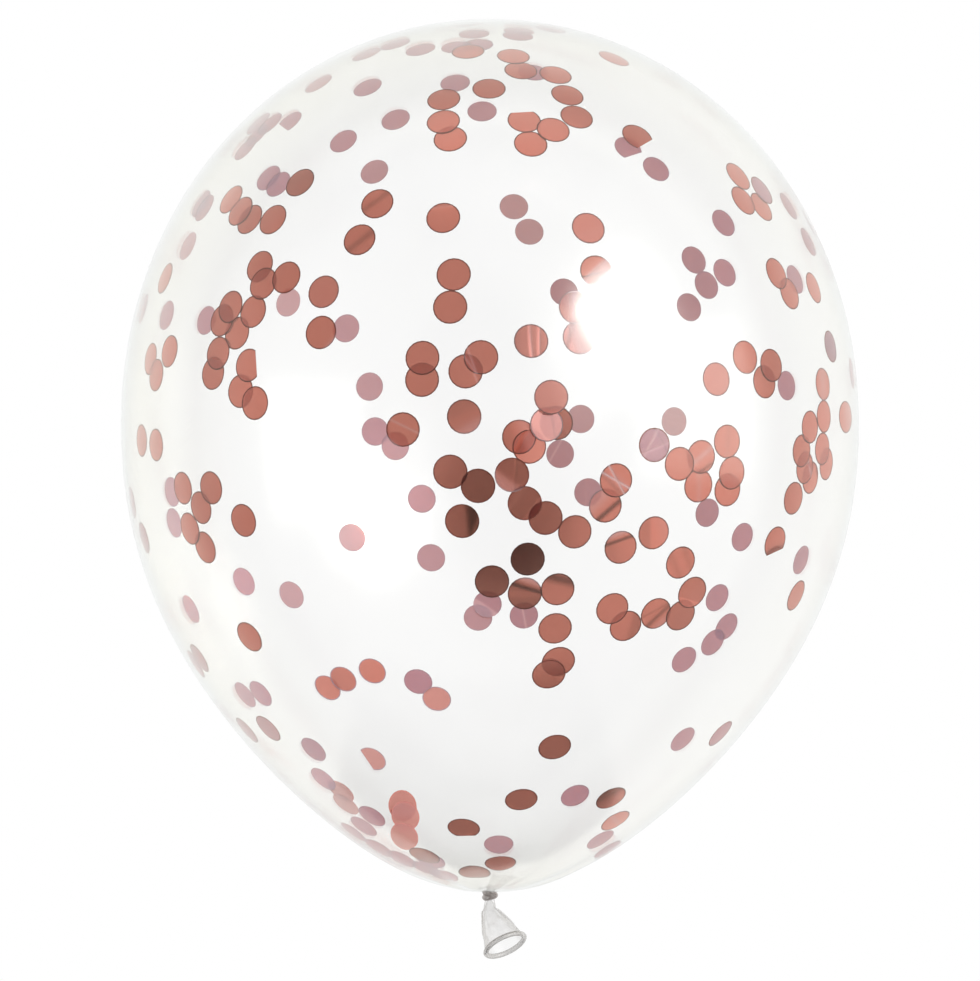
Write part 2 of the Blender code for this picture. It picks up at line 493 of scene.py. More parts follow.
@dataclass(frozen=True)
class Mark:
    """A streak across a disc where the foil buckled, or a whole side of it, with painted shade, painted
    highlight or both.

    Args:
        angle: towards where it lies, in degrees anticlockwise from right
        line: how far from the disc's middle it runs, as a share of the radius
        width: half its width, as a share of the radius
        tone: how bright the foil is there: painted shade below 1, painted highlight above it
        pale: how far it is washed to white: a painted highlight of what the foil mirrors
        beyond: whether all that lies beyond the line has it too
    """

    angle: float
    line: float = 0.0
    width: float = 0.25
    tone: float = 1.0
    pale: float = 0.0
    beyond: bool = False

    FADE = 1.6  # how steeply it fades at its width

    @property
    def away(self) -> Vector:
        """The direction in which it lies."""
        return direction(self.angle)

    def strength(self, out: float) -> float:
        """How strong it is that far from the disc's middle, as a share of the radius."""
        offset = (out - self.line) / self.width
        return 0.5 + 0.5 * math.tanh(self.FADE * offset) if self.beyond else math.exp(-self.FADE * offset**2)


def beyond(angle: float, **facts: float) -> Mark:
    """A mark on all that lies beyond its line."""
    return Mark(angle, beyond=True, **facts)


@dataclass(frozen=True)
class Spot:
    """One disc as the photograph shows it.

    Args:
        x: its middle, in pixels from the photograph's left
        y: its middle, in pixels from the photograph's top
        wall: which wall it clings to
        turned: whether the face that is usually hidden is the one that shows
        bend: what happened to it
        angle: towards where it is cut or folded, in degrees anticlockwise from right
        line: how far from the middle the cut or fold is, as a share of the radius
        tone: how bright the foil is made: painted shade below 1, painted highlight above it
        pale: how far it is washed to white: a painted highlight of what the foil mirrors
        marks: where it is buckled
        lean: how many degrees it stands off the film towards the right and towards the crown
        under: how many millimetres further in it lies, under others
        plain: whether its rim is left without painted shade
    """

    x: float
    y: float
    wall: Wall
    turned: bool = False
    bend: Bend = Bend.FLAT
    angle: float = 0.0
    line: float = 0.5
    tone: float = 1.0
    pale: float = 0.0
    marks: tuple[Mark, ...] = ()
    lean: tuple[float, float] = (0.0, 0.0)
    under: float = 0.0
    plain: bool = False


def near(x: float, y: float, **facts: object) -> Spot:
    """A disc on the wall nearest the camera."""
    return Spot(x, y, Wall.NEAR, **facts)


def far(x: float, y: float, **facts: object) -> Spot:
    """A disc on the wall that rests on the floor."""
    return Spot(x, y, Wall.FAR, **facts)


# Besides where each disc shows, the table gives the painted shade and painted highlight of its foil, which
# stand for what it mirrors.
CONFETTI: dict[str, tuple[Spot, ...]] = {
    "crown_left": (
        near(x=468, y=50.5), near(x=443.5, y=98), near(x=443, y=120), near(x=450, y=137),
        near(x=489, y=87.5), near(x=443, y=217, marks=(Mark(95, line=0.75, width=0.12, pale=0.12),)),
        near(x=376.5, y=202.5, marks=(Mark(122, line=0.21, width=0.26, tone=0.84),)),
        near(x=298.5, y=181, tone=0.86), far(x=318, y=83, pale=0.4), far(x=366, y=53, pale=0.35),
        far(x=367, y=86), far(x=395, y=118, pale=0.3), far(x=343, y=140.5, pale=0.25),
        far(x=374, y=171, pale=0.4), far(x=420, y=48), far(x=456, y=45), far(x=478, y=44),
        far(x=455, y=82, pale=0.15), far(x=482, y=110, pale=0.12), far(x=468, y=22), far(x=474, y=33),
        far(x=395, y=43),
    ),
    "crown_right": (
        near(x=513.5, y=55), near(x=521, y=69), near(x=556, y=73), near(x=568, y=93), near(x=577, y=116),
        near(x=553.5, y=128.5), near(x=524.5, y=119, bend=Bend.CUT, angle=100, line=0.72),
        near(x=531, y=142), near(x=638, y=136, bend=Bend.CUT, angle=-40, line=0.62),
        near(x=614.5, y=57, pale=0.35),
        near(x=589, y=227, pale=0.12, marks=(Mark(-70, line=0.35, width=0.25, pale=0.15),)),
        far(x=519, y=29), far(x=518, y=35), far(x=551, y=28), far(x=533, y=71),
        far(x=629, y=147, bend=Bend.CUT, angle=-50, line=0.6), far(x=656.5, y=168.5),
        far(x=514, y=206, pale=0.55), far(x=529.5, y=231, pale=0.5),
    ),
    "right_shoulder": (
        near(x=739, y=175.5), near(x=744.5, y=199.5), near(x=763.5, y=189, turned=True),
        near(x=763.5, y=205.5), near(x=777.5, y=273), near(x=791, y=293), near(x=815.5, y=287),
        near(x=833, y=346, turned=True, tone=0.88), far(x=724, y=222.5), far(x=694.5, y=259.5),
        far(x=707.5, y=284.5), far(x=726, y=272), far(x=689.5, y=307), far(x=796, y=279), far(x=790, y=205),
        far(x=811, y=222), far(x=809, y=241.5),
    ),
    "left_shoulder": (
        far(x=257.5, y=123), far(x=269, y=123), far(x=288, y=121, bend=Bend.CUT, angle=200, line=0.5),
        far(x=244, y=147), far(x=256, y=135), far(x=200, y=203), far(x=203, y=207),
        far(x=186, y=245, pale=0.5), far(x=268, y=177.5), far(x=277.5, y=183.5), near(x=163, y=277.5),
        near(x=229, y=198), near(x=239.5, y=210.5), near(x=248.5, y=218.5), near(x=271.5, y=218.5),
        near(x=258, y=265.5), near(x=285.5, y=277), near(x=262, y=283), near(x=322.5, y=291, pale=0.07),
        near(x=358.5, y=238.5, marks=(Mark(122, line=-0.1, width=0.28, tone=0.8),)),
    ),
    "left_wall": (
        near(x=229.5, y=306.5), near(x=220.5, y=320), near(x=251.5, y=311), near(x=235, y=332.5),
        near(x=217, y=353), near(x=211.5, y=373), near(x=247, y=365, bend=Bend.CUT, angle=5, line=0.6),
        near(x=238.5, y=391), near(x=254, y=403),
        near(x=320, y=332, marks=(beyond(-45, line=0.8, width=0.1, pale=0.25),)), near(x=167.5, y=351),
        near(x=148, y=358.5), near(x=155, y=375), near(x=140, y=440.5), near(x=154, y=445),
        near(x=180.5, y=488.5), near(x=210, y=488), near(x=199.5, y=508), far(x=205, y=320, pale=0.2),
        far(x=287, y=302, pale=0.6), far(x=166, y=315, pale=0.25), far(x=171, y=492, pale=0.1),
        far(x=345.5, y=328, pale=0.3), far(x=141, y=308), near(x=131, y=503, turned=True),
    ),
    "upper_middle": (
        near(x=453.5, y=274), near(x=450, y=306.5), near(x=422, y=357.5), near(x=421.5, y=379.5),
        near(x=481, y=357, marks=(
            Mark(200, line=0.55, width=0.09, tone=1.25, pale=0.3),
            Mark(215, line=0.75, width=0.09, tone=1.25, pale=0.3),
        )),
        near(x=465.5, y=371, marks=(Mark(20, line=0.42, width=0.09, tone=1.25, pale=0.3),)),
        far(x=369, y=386.5, pale=0.35), far(x=564.5, y=291.5),
        near(x=597, y=271, marks=(
            beyond(-43, line=-0.22, width=0.15, pale=0.65), Mark(107, line=-0.14, width=0.1, tone=0.6),
        )),
        near(x=576, y=307, pale=0.3, marks=(beyond(0, line=-0.3, width=0.5, pale=0.9),)),
        near(x=580, y=337, pale=0.38, marks=(
            beyond(15, line=-0.3, width=0.5, pale=0.9), Mark(165, line=0.6, width=0.2, tone=0.75),
        )),
        near(x=531.5, y=340.5, pale=0.15, marks=(
            Mark(5, width=0.14, pale=0.35), Mark(0, line=0.5, width=0.12, pale=0.3),
            beyond(180, line=0.6, width=0.3, tone=0.9),
        )),
        near(x=551.5, y=397, pale=0.18, marks=(beyond(-85, line=0.72, width=0.2, tone=1.25, pale=0.1),)),
    ),
    "right_wall": (
        near(x=746, y=357), near(x=717.5, y=379, pale=0.15), near(x=773, y=365), near(x=766.5, y=381.5),
        near(x=824, y=384, marks=(Mark(0, width=0.6, pale=0.25),)), near(x=825.5, y=416.5),
        near(x=812, y=427), near(x=804, y=451), near(x=823.5, y=449), near(x=828, y=464),
        near(x=808, y=468, under=0.5, marks=(Mark(25, line=0.5, width=0.14, pale=0.4),)),
        near(x=814, y=478, under=0.5), near(x=794.5, y=498.5), near(x=850, y=417, lean=(-10, 0)),
        far(x=788, y=385.5), far(x=854, y=373), near(x=797, y=596, tone=0.92),
        near(x=776.5, y=543, bend=Bend.FOLDED, angle=-90, line=0.62, tone=1.12, marks=(
            beyond(-90, line=0.3, width=0.2, tone=0.7),
        )),
        far(x=802.5, y=560.5),
    ),
    "right_middle": (
        near(x=655, y=445, turned=True, marks=(
            Mark(150, line=0.25, width=0.1, pale=0.35), Mark(110, line=-0.2, width=0.08, pale=0.3),
            Mark(30, line=0.5, width=0.1, tone=0.9),
        )),
        near(x=680.5, y=464, marks=(beyond(0, line=0.6, width=0.3, tone=0.92),)),
        near(x=702.5, y=457, marks=(
            Mark(125, width=0.2, pale=0.3), Mark(-60, line=0.75, width=0.14, tone=0.72),
        )),
        near(x=700, y=486, marks=(Mark(0, line=0.05, width=0.2, pale=0.15),)),
        near(x=728, y=441.5, marks=(Mark(-5, line=0.1, width=0.1, tone=0.88),)), near(x=733, y=473),
        near(x=729, y=490),
        near(x=655, y=533.5, tone=1.12, marks=(
            beyond(180, line=0.2, width=0.15, tone=0.8), beyond(20, line=0.3, width=0.4, pale=0.08),
        )),
        far(x=674.5, y=421.5, pale=0.5, marks=(
            Mark(80, width=0.15, pale=0.6), Mark(80, line=0.5, width=0.12, pale=0.6),
        )),
        far(x=708, y=513), far(x=743.5, y=537.5),
    ),
    "left_middle": (
        far(x=375, y=431.5, pale=0.2), far(x=395, y=446, pale=0.35), far(x=421.5, y=499, pale=0.25),
        far(x=351.5, y=538, pale=0.5), far(x=431, y=558, pale=0.25),
        near(x=402.5, y=429.5, marks=(
            Mark(65, line=0.2, width=0.1, pale=0.3), beyond(230, line=0.88, width=0.1, pale=0.4),
        )),
        near(x=464, y=416.5, marks=(
            beyond(-60, line=0.5, width=0.35, tone=1.2, pale=0.4),
            beyond(120, line=0.3, width=0.4, tone=0.9),
        )),
        near(x=450, y=472), near(x=478, y=486, tone=0.9),
        near(x=462, y=521.5, marks=(
            beyond(5, line=0.3, width=0.22, tone=0.55), Mark(-20, line=0.85, width=0.15, tone=1.5),
        )),
    ),
    "middle": (
        near(x=547.5, y=424.5, lean=(11, 4), pale=0.3, marks=(Mark(10, line=0.4, width=0.12, tone=0.88),)),
        near(x=558, y=423, under=2.4, tone=0.72),
        near(x=519.5, y=437, lean=(5, 0), marks=(beyond(20, line=0.1, width=0.3, tone=1.3, pale=0.15),)),
        near(x=530, y=447, lean=(9, -2), marks=(beyond(-40, line=-0.1, width=0.3, tone=1.35, pale=0.08),)),
        near(x=512, y=475, tone=1.2, marks=(
            beyond(235, line=0.3, width=0.3, tone=1.3, pale=0.5),
            Mark(-5, line=0.22, width=0.16, tone=0.78),
        )),
        near(x=525, y=503.5, marks=(
            beyond(-36, line=0.47, width=0.12, tone=1.8), Mark(145, line=0.55, width=0.22, pale=0.15),
        )),
        near(x=546, y=518.5), near(x=575.5, y=532.5, tone=0.93),
        near(x=616.5, y=480.5, marks=(
            Mark(60, width=0.1, pale=0.8), Mark(30, line=0.05, width=0.09, pale=0.7),
            Mark(45, line=-0.35, width=0.2, tone=0.85),
        )),
        near(x=606, y=506, marks=(
            beyond(135, line=0.25, width=0.4, pale=0.3), Mark(-52, line=0.35, width=0.18, tone=0.45),
        )),
        near(x=621.5, y=548, marks=(
            Mark(104, line=0.43, width=0.13, tone=0.5), beyond(104, line=0.72, width=0.15, pale=0.35),
            beyond(200, line=0.3, width=0.4, tone=0.9),
        )),
        near(x=528, y=560, tone=0.55), near(x=492, y=582, tone=0.7), far(x=581, y=419, pale=0.3),
        far(x=560.5, y=454, pale=0.15, marks=(Mark(150, line=0.4, width=0.1, pale=0.5),)),
        far(x=588.5, y=492.5, pale=0.12, marks=(Mark(0, line=-0.2, width=0.1, pale=0.2),)),
    ),
    "lower_middle": (
        near(x=525, y=594, tone=0.9, marks=(
            Mark(70, line=0.37, width=0.16, tone=0.5),
            beyond(70, line=0.68, width=0.16, tone=1.3, pale=0.45),
            beyond(-90, line=0.2, width=0.5, tone=0.8),
        )),
        near(x=558, y=590, marks=(Mark(73, line=0.65, width=0.36, tone=0.5),)), near(x=555.5, y=629.5),
        near(x=559, y=663, tone=1.08),
        near(x=549, y=675, tone=1.08, marks=(beyond(50, line=0.05, width=0.22, tone=1.5),)),
        near(x=613, y=609.5), near(x=626.5, y=627, marks=(beyond(-15, line=0.3, width=0.2, tone=0.84),)),
        near(x=682, y=563.5, marks=(
            Mark(20, line=0.5, width=0.3, tone=0.9), Mark(205, line=0.4, width=0.3, tone=0.9),
        )),
        near(x=693, y=593, tone=0.9, marks=(beyond(243, line=0.5, width=0.12, tone=1.4),)),
        near(x=681.5, y=616, tone=0.86),
        near(x=657, y=614.5, marks=(
            Mark(-53, line=0.25, width=0.2, tone=0.66), Mark(-72, line=-0.2, width=0.1, tone=0.85),
            beyond(-53, line=0.6, width=0.2, pale=0.15),
        )),
        far(x=718.5, y=598.5), far(x=727, y=627), far(x=713.5, y=643), far(x=685, y=660.5),
        far(x=487.5, y=605, marks=(beyond(234, line=0.15, width=0.15, tone=1.25, pale=0.45),)),
        far(x=478, y=618, pale=0.2), far(x=524, y=616, marks=(Mark(10, width=0.1, pale=0.4),)),
    ),
    "lower_left": (
        far(x=173.5, y=523, pale=0.1), far(x=243, y=582, pale=0.2), far(x=290.5, y=595.5, pale=0.45),
        far(x=189, y=610), near(x=143, y=538, turned=True), near(x=188.5, y=529), near(x=203.5, y=548),
        near(x=241.5, y=521), near(x=248.5, y=637.5), near(x=198, y=659, turned=True),
        near(x=194, y=665, turned=True), far(x=243.5, y=696), far(x=260, y=694),
        far(x=327, y=688.5, turned=True, pale=0.08), far(x=342.5, y=680, turned=True, pale=0.08),
        far(x=371.5, y=672, turned=True, pale=0.08), far(x=418, y=682),
        far(x=436.5, y=699.5, turned=True, pale=0.28),
        far(x=371.5, y=760, bend=Bend.CUT, angle=215, line=0.45, turned=True, pale=0.4),
    ),
    "tail_left": (
        near(x=246, y=731, turned=True), near(x=267, y=729.5, turned=True),
        far(x=312.5, y=750.5, tone=0.94), far(x=322, y=780.5, tone=1.06),
        far(x=340.5, y=792, turned=True, plain=True, tone=0.88, pale=0.45),
        far(x=345, y=805, turned=True, plain=True, tone=0.88, pale=0.5), far(x=371, y=817.5),
        far(x=362.5, y=828),
        far(x=401.5, y=842, turned=True, plain=True, tone=1.1, pale=0.25, lean=(0, 22), marks=(
            beyond(85, line=0.3, width=0.3, tone=1.15, pale=0.36),
        )),
        far(x=402.5, y=822, turned=True, plain=True, tone=1.12, pale=0.25, lean=(0, 24), marks=(
            beyond(100, line=-0.1, width=0.3, tone=1.15, pale=0.36),
        )),
        far(x=399, y=813, turned=True, plain=True, tone=1.12, pale=0.25, lean=(0, 28)), far(x=352, y=834),
        far(x=378, y=849), far(x=402, y=860), far(x=426, y=870), far(x=443, y=878),
    ),
    "tail": (
        near(x=555, y=748), near(x=521.5, y=801, tone=1.12),
        near(x=463.5, y=830, bend=Bend.CUT, angle=-80, line=0.82, tone=1.12),
        near(x=500.5, y=866, tone=1.2, pale=0.15),
        near(x=474.5, y=873, tone=0.82, marks=(beyond(-60, line=0.4, width=0.4, pale=0.15),)),
        near(x=424, y=857, tone=0.8, marks=(beyond(-60, line=0.4, width=0.4, pale=0.22),)),
        far(x=430, y=862), far(x=499, y=846.5, pale=0.2),
        near(x=611.5, y=799, marks=(beyond(110, line=0.1, width=0.5, tone=0.75),)), far(x=575.5, y=796.5),
        near(x=616.5, y=822.5, marks=(Mark(20, width=0.2, pale=0.2),)), far(x=601.5, y=841.5),
        far(x=608, y=850), far(x=683.5, y=740), near(x=722, y=735, turned=True),
    ),
}


@dataclass
class Confetti:
    """The foil discs sealed in the bulb, each laid where the photograph shows it."""

    diameter: float = 12 * MILLIMETRE
    thickness: float = 0.10 * MILLIMETRE
    rim_width: float = 0.42 * MILLIMETRE  # the band in the edge's dark finish: painted shade round the rim
    # painted shade on the rim of discs on the far wall
    far_rim_painted_shade: float = 0.88
    buckle: float = 0.07 * MILLIMETRE  # how deep a streak's valley is
    mark_cuts: tuple[float, ...] = (-1.3, -0.75, -0.35, 0.0, 0.35, 0.75, 1.3)  # in shares of its width
    outermost_cut: float = 0.92  # as a share of the radius
    fold_gap: float = 1.6  # in thicknesses of the foil
    off_the_film: float = 0.25 * MILLIMETRE
    between_layers: float = 0.17 * MILLIMETRE
    layers: int = 4
    sides: int = 22
    crisp_angle: float = 35
    below_all: float = 4.0  # metres under the camera: where a ray up to the far wall starts

    FRONT, BACK, EDGE = 0, 1, 2

    def blank(self) -> BMesh:
        """A flat disc: its shown face up, its hidden face down, and a rim band round both in the edge's
        finish, which paints shade there.
        """
        bm = bmesh.new()
        bmesh.ops.create_circle(bm, cap_ends=True, segments=self.sides, radius=self.diameter / 2)
        top = list(bm.faces)
        bmesh.ops.inset_region(
            bm, faces=top, thickness=self.rim_width, use_boundary=True, use_even_offset=True
        )
        below = bmesh.ops.extrude_face_region(bm, geom=list(bm.faces))["geom"]
        bmesh.ops.translate(
            bm, verts=[v for v in below if isinstance(v, BMVert)], vec=(0, 0, -self.thickness)
        )
        bmesh.ops.recalc_face_normals(bm, faces=bm.faces)
        for face in bm.faces:
            if len(face.verts) > 4:
                face.material_index = self.FRONT if face.normal.z > 0 else self.BACK
            else:
                face.material_index = self.EDGE
        return bm

    def _slice(self, bm: BMesh, angle: float, line: float, drop: bool) -> None:
        """Cuts the disc along a chord.

        Args:
            bm: the disc, flat
            angle: the chord's outward direction, in degrees
            line: how far out it is, as a share of the radius
            drop: whether what lies beyond it is taken away
        """
        away = direction(angle)
        bmesh.ops.bisect_plane(
            bm,
            geom=everything(bm),
            dist=TIDY_DISTANCE,
            plane_co=away * (line * self.diameter / 2),
            plane_no=away,
            clear_outer=drop,
        )
        if drop:
            open_edges = [e for e in bm.edges if e.is_boundary]
            filled = bmesh.ops.contextual_create(bm, geom=open_edges)["faces"]
            for face in filled:
                face.material_index = self.EDGE

    def _mark(self, bm: BMesh, marks: tuple[Mark, ...]) -> None:
        """Cuts the disc's faces along its marks and sinks each streak a little."""
        for mark in marks:
            for cut in self.mark_cuts:
                offset = mark.line + cut * mark.width
                if abs(offset) < self.outermost_cut:
                    self._slice(bm, mark.angle, offset, drop=False)
        for vert in bm.verts:
            for mark in marks:
                if not mark.beyond:
                    out = vert.co.dot(mark.away) / (self.diameter / 2)
                    vert.co.z -= self.buckle * mark.strength(out)

    def _shade(self, bm: BMesh, spot: Spot) -> None:
        """Writes the painted shade and painted highlight at each of the disc's points: how bright the foil
        is made there, and how far it is washed to white.
        """
        tone, pale = (bm.verts.layers.float.new(name) for name in ("tone", "pale"))
        for vert in bm.verts:
            on_rim = math.hypot(vert.co.x, vert.co.y) > (self.diameter - self.rim_width) / 2
            # A disc on the far wall gets painted shade on its rim.
            rim_shade_painted = on_rim and spot.wall is Wall.FAR and not spot.plain
            vert[tone] = spot.tone * (self.far_rim_painted_shade if rim_shade_painted else 1.0)
            vert[pale] = spot.pale
            for mark in spot.marks:
                strength = mark.strength(vert.co.dot(mark.away) / (self.diameter / 2))
                vert[tone] *= 1 + (mark.tone - 1) * strength
                vert[pale] += (mark.pale - vert[pale]) * strength if mark.pale else 0.0

    def _fold(self, bm: BMesh, angle: float, line: float) -> None:
        """Folds the disc back under itself along a chord."""
        away = direction(angle)
        flap = self.blank()
        self._slice(flap, angle + 180, -line, drop=True)
        middle = away * (line * self.diameter / 2)
        mirrored = Matrix.Translation(middle) @ Matrix.Scale(-1, 4, away) @ Matrix.Translation(-middle)
        flap.transform(Matrix.Translation((0, 0, -self.fold_gap * self.thickness)) @ mirrored)
        bmesh.ops.recalc_face_normals(flap, faces=flap.faces)
        self._slice(bm, angle, line, drop=True)
        pour(flap, bm)

    def shape(self, spot: Spot) -> BMesh:
        """A disc cut, folded and marked as its facts say, still flat."""
        bm = self.blank()
        if spot.bend is Bend.CUT:
            self._slice(bm, spot.angle, spot.line, drop=True)
        elif spot.bend is Bend.FOLDED:
            self._fold(bm, spot.angle, spot.line)
        self._mark(bm, spot.marks)
        self._shade(bm, spot)
        copper_up = (spot.wall is Wall.NEAR) != spot.turned
        for face in bm.faces:
            if face.material_index != self.EDGE and not copper_up:
                face.material_index = self.FRONT + self.BACK - face.material_index
            elif face.material_index == self.EDGE and spot.wall is Wall.FAR:
                face.material_index = self.FRONT if spot.plain else self.BACK
        return bm

    def lay(self, bm: BMesh, spot: Spot, layer: int, skin: BVHTree, eye: Eye) -> None:
        """Lays one disc on the inside of the film.

        Args:
            bm: the mesh that it joins
            spot: the disc's facts
            layer: how many discs may lie between it and the film
            skin: the film's surface
            eye: the camera, for the ray through the disc's pixel
        """
        ray = eye.ray(spot.x, spot.y)
        start = Vector(eye.place)
        if spot.wall is Wall.FAR:
            start, ray = start + ray * self.below_all, -ray
        place, outward, _, _ = skin.ray_cast(start, ray.normalized())
        if place is None:
            level = start + ray * ((start.z - Bulb().axis_height) / -ray.z)
            place, outward, _, _ = skin.find_nearest(level)
        shown = outward if spot.wall is Wall.NEAR else -outward
        right = Vector((1, 0, 0))
        right = (right - shown * right.dot(shown)).normalized()
        up = shown.cross(right)
        inset = self.off_the_film + layer * self.between_layers + spot.under * MILLIMETRE
        slope_x, slope_y = (math.tan(math.radians(angle)) for angle in spot.lean)
        inset += math.hypot(slope_x, slope_y) * self.diameter / 2
        first = len(bm.verts)
        pour(self.shape(spot), bm)
        bm.verts.ensure_lookup_table()
        for vert in bm.verts[first:]:
            flat = vert.co.copy()
            level = place + right * flat.x + up * flat.y
            on_film, normal, _, _ = skin.find_nearest(level)
            side = 1 if spot.wall is Wall.NEAR else -1
            stand = flat.x * slope_x + flat.y * slope_y
            vert.co = on_film - normal * (inset + self.thickness + stand - side * flat.z)

    def build(self, skin: BVHTree, eye: Eye, finishes: list[Material]) -> list[Object]:
        """Builds each group of discs as one piece.

        Args:
            skin: the film's surface
            eye: the camera
            finishes: the copper face, the mauve face and the edge

        Returns:
            The pieces.
        """
        made = []
        for group, spots in CONFETTI.items():
            bm = bmesh.new()
            for number, spot in enumerate(spots):
                self.lay(bm, spot, number % self.layers, skin, eye)
            piece = make_piece(f"confetti_{group}", bm, finishes, self.crisp_angle)
            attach(piece, BODY)
            made.append(piece)
        return made


@dataclass(frozen=True)
class Ring:
    """One ring of the mouthpiece."""

    along: float  # how far it is from the knot's middle
    half_width: float
    half_thickness: float
    gather: float = 0.0  # its share of the neck's gathers
    on_rim: bool = False


@dataclass
class Tail:
    """What closes the bulb: the overhand knot, and the neck that flares to a rolled mouthpiece."""

    bulb: Bulb
    knot_width: float = 0.0064
    knot_strand: float = 0.0026
    turn_spacing: float = 0.0009
    turn_tilts: tuple[float, float] = (math.radians(20), math.radians(-14))
    knot_sink: float = 0.0002
    knot_sides: int = 48
    strand_sides: int = 16
    strand_width: float = 0.0030
    neck_width: float = 0.0046
    neck_thickness: float = 0.0026
    neck_length: float = 0.0052
    flare_length: float = 0.01572  # 0.08 mm less than the solid's: the rolled rim stays in its box
    bend_start: float = 0.0030
    bend_length: float = 0.0075
    bend_angle: float = math.radians(38.5)
    bend_towards: float = math.radians(50)
    mouth_diameter: float = 0.0178
    rim_bead: float = 0.0019
    wall: float = 0.0003
    width_ease: float = 0.60
    thickness_ease: float = 0.85
    hollow_ends: tuple[float, float] = (0.55, 0.3)  # where it narrows and ends, as shares of the neck
    crumple_size: float = 0.0042
    crumple_depth: float = 0.0007
    crumple_gain: float = 2.2  # so that it fades later than the gathers do
    wrinkles_per_metre: float = 900  # on the knot
    wrinkle_depth: float = 0.00022
    turn_apart: float = 7  # how far apart in the noise the two turns are
    sides: int = 72
    rings: int = 26
    bead_rings: int = 12
    bead_turn: tuple[float, float] = (math.radians(-60), math.radians(300))  # its start and sweep
    gathers: Ripple = Ripple(folds=9, cross_folds=4, cross_depth=0.6, start=0.7, cross_start=2.1)
    gather_depth: float = 0.10
    gather_fade: float = 1.5  # how steeply they fade along the flare
    rolled: float = 1.0  # how unstretched the many layers of the rolled rim are
    gathered: float = 0.17  # the same for the neck's gathers

    @property
    def knot_half_height(self) -> float:
        """Half of what the knot's turns measure along the neck."""
        return (self.knot_strand + self.turn_spacing) / 2

    @property
    def knot_centre(self) -> Vector:
        """The knot's middle, in the balloon's own frame."""
        return Vector((0, 0, self.knot_sink - self.bulb.taper_length - self.knot_half_height))

    def middle_line(self, along: float) -> tuple[Vector, Vector, Vector]:
        """Where the neck's middle line is.

        Args:
            along: distance from the knot's middle

        Returns:
            The point, then the section's two axes, across and through.
        """
        bent = min(max(along - self.bend_start, 0), self.bend_length)
        angle = self.bend_angle * bent / self.bend_length
        radius = self.bend_length / self.bend_angle
        past = max(along - self.bend_start - self.bend_length, 0)
        down = min(along, self.bend_start) + radius * math.sin(angle) + past * math.cos(angle)
        aside = radius * (1 - math.cos(angle)) + past * math.sin(angle)
        sideways = Vector((math.cos(self.bend_towards), -math.sin(self.bend_towards), 0))
        below = Vector((0, 0, -1))
        middle = self.knot_centre + below * down + sideways * aside
        ahead = below * math.cos(angle) + sideways * math.sin(angle)
        across = Vector((1, 0, 0))
        across = (across - ahead * across.dot(ahead)).normalized()
        return middle, across, ahead.cross(across)

    def flare(self, share: float) -> tuple[float, float]:
        """Half width and half thickness of the flare, that share of the way to the mouth."""
        mouth = (self.mouth_diameter - self.rim_bead + self.wall) / 2
        half_width, half_thickness = self.neck_width / 2, self.neck_thickness / 2
        return (
            half_width + (mouth - half_width) * share**self.width_ease,
            half_thickness + (mouth - half_thickness) * share**self.thickness_ease,
        )

    def _flare_rings(self, inset: float) -> list[Ring]:
        """The flare's rings from the neck to the mouth, that far inside its outer face."""
        rings = []
        for i in range(self.rings):
            share = i / self.rings
            width, thickness = self.flare(share)
            along = self.neck_length + self.flare_length * share
            gather = (1 - share) ** self.gather_fade
            rings.append(Ring(along, width - inset, thickness - inset, gather))
        return rings

    def _rim_rings(self) -> list[Ring]:
        """The rings round the rolled rim."""
        rings = []
        bead = self.rim_bead / 2
        first, sweep = self.bead_turn
        for i in range(self.bead_rings + 1):
            turn = first + sweep * i / self.bead_rings
            along = self.neck_length + self.flare_length + bead * math.sin(turn)
            radius = self.mouth_diameter / 2 - bead + bead * math.cos(turn)
            rings.append(Ring(along, radius, radius, on_rim=True))
        return rings

    def profile(self) -> list[Ring]:
        """All rings in order: down the outside, round the rim, and back inside into the neck."""
        strand = self.strand_width / 2
        narrow = (self.neck_thickness / 2 - self.wall) / 2
        width, thickness = (size / 2 - 2 * self.wall for size in (self.neck_width, self.neck_thickness))
        narrows, ends = (self.neck_length * share for share in self.hollow_ends)
        return [
            Ring(-2 * self.knot_half_height, strand, strand),
            Ring(0, strand, strand, gather=0.5),
            *self._flare_rings(0),
            *self._rim_rings(),
            *reversed(self._flare_rings(self.wall)),
            Ring(narrows, width, thickness, gather=1.0),
            Ring(ends, narrow, narrow, gather=1.0),
        ]

    def _draw_out(
        self, bm: BMesh, edges: list[BMEdge], turns: dict[BMVert, float]
    ) -> tuple[list[BMEdge], dict[BMVert, float]]:
        """Draws a ring out to a new one.

        Args:
            bm: the mouthpiece so far
            edges: the last ring's edges
            turns: the angle of each of its points

        Returns:
            The same two facts of the new ring.
        """
        grown = bmesh.ops.extrude_edge_only(bm, edges=edges)["geom"]
        fresh = [g for g in grown if isinstance(g, BMVert)]
        edges = [g for g in grown if isinstance(g, BMEdge) and all(v in fresh for v in g.verts)]
        known = {}
        for vert in fresh:
            old = next(e.other_vert(vert) for e in vert.link_edges if e.other_vert(vert) in turns)
            known[vert] = turns[old]
        return edges, known

